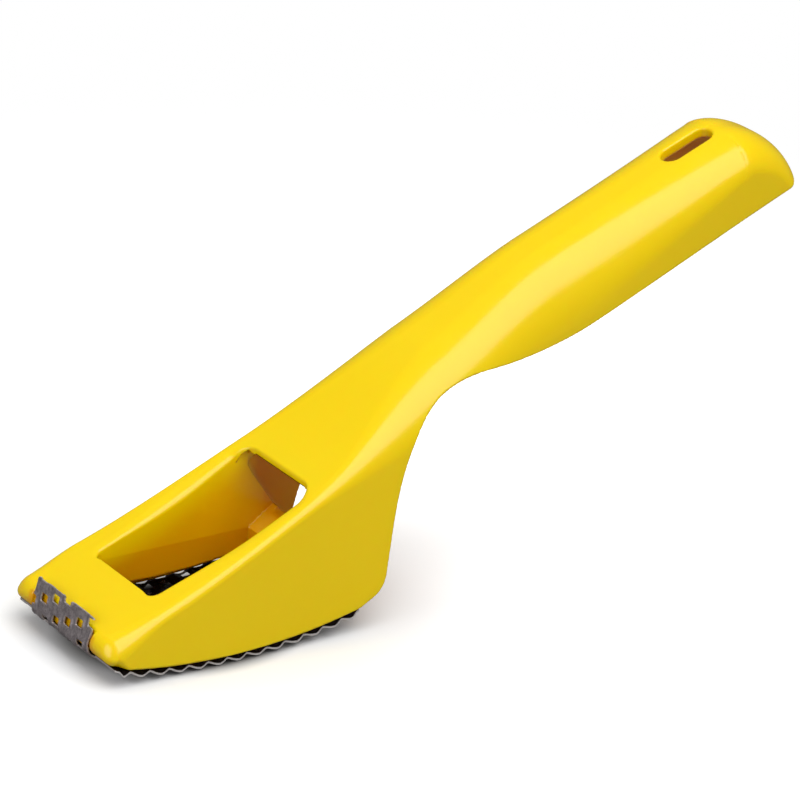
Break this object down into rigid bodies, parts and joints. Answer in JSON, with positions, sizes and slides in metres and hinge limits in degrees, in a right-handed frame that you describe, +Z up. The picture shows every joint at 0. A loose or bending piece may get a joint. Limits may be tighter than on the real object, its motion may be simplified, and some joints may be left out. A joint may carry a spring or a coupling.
{
  "type": "rasp plane",
  "caption": "Hand rasp plane with a pierced, toothed steel sole blade clipped to a hollow moulded plastic body and handle, for shaving wood and filler.",
  "frame": {"origin": "middle of the whole tool's bounding box, at its lowest level, which is the tips of the sole's teeth", "axes": "+X from the nose along the tool to the end of the handle, +Y across the tool to its left, +Z up"},
  "size_m": [0.1876, 0.043, 0.0959],
  "materials": {
    "moulded_plastic": "glossy moulded, with broad soft highlights",
    "tool_steel": "dull grey tempered sheet, with brighter sheared edges"
  },
  "bodies": {
    "body": {"body": "moulded_plastic"},
    "blade": {"blade": "tool_steel"}
  },
  "joints": [
    {"name": "blade_release", "type": "slide", "parent": "body", "child": "blade", "axis": [-0.2419, 0, -0.9703], "range_m": [0, 0.016]}
  ]
}
